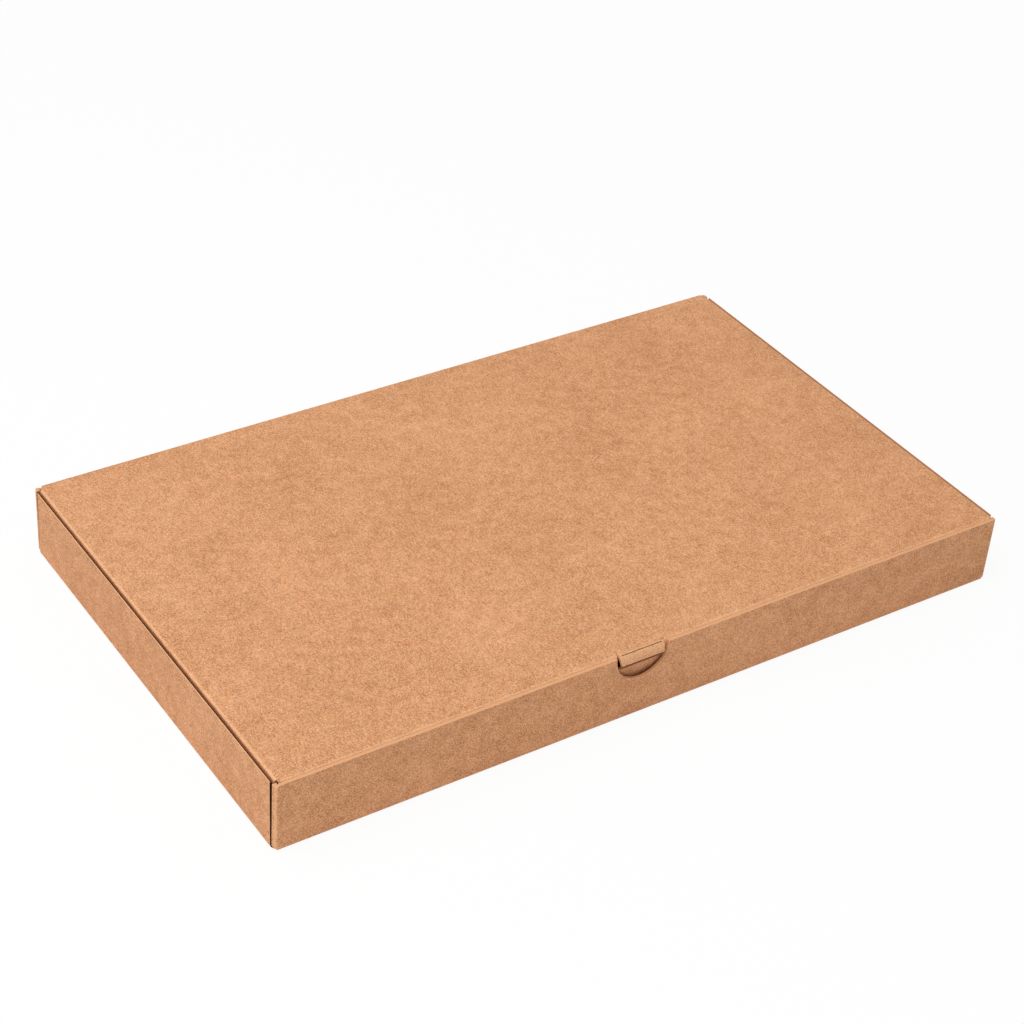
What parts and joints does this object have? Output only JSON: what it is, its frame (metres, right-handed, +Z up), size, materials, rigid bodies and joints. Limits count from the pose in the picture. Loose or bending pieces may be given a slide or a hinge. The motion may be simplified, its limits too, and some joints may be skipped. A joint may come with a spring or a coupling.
{
  "type": "flatbread box",
  "caption": "Shallow closed food box folded from kraft board, with a hinged tuck-in lid, a thumb notch and a small lift tab.",
  "frame": {"origin": "middle of the tray's bottom face, where the box stands", "axes": "+Z up, +X to the right along the length, +Y from the front wall with the thumb notch to the rear crease"},
  "size_m": [0.35, 0.2114, 0.033],
  "materials": {
    "kraft_board": "uncoated brown micro-flute board"
  },
  "bodies": {
    "tray": {"tray": "kraft_board"},
    "lid": {"lid": "kraft_board"}
  },
  "joints": [
    {"name": "lid_hinge", "type": "hinge", "parent": "tray", "child": "lid", "pos_m": [0, 0.10467, 0.03267], "axis": [-1, 0, 0], "range_deg": [0, 180]}
  ]
}
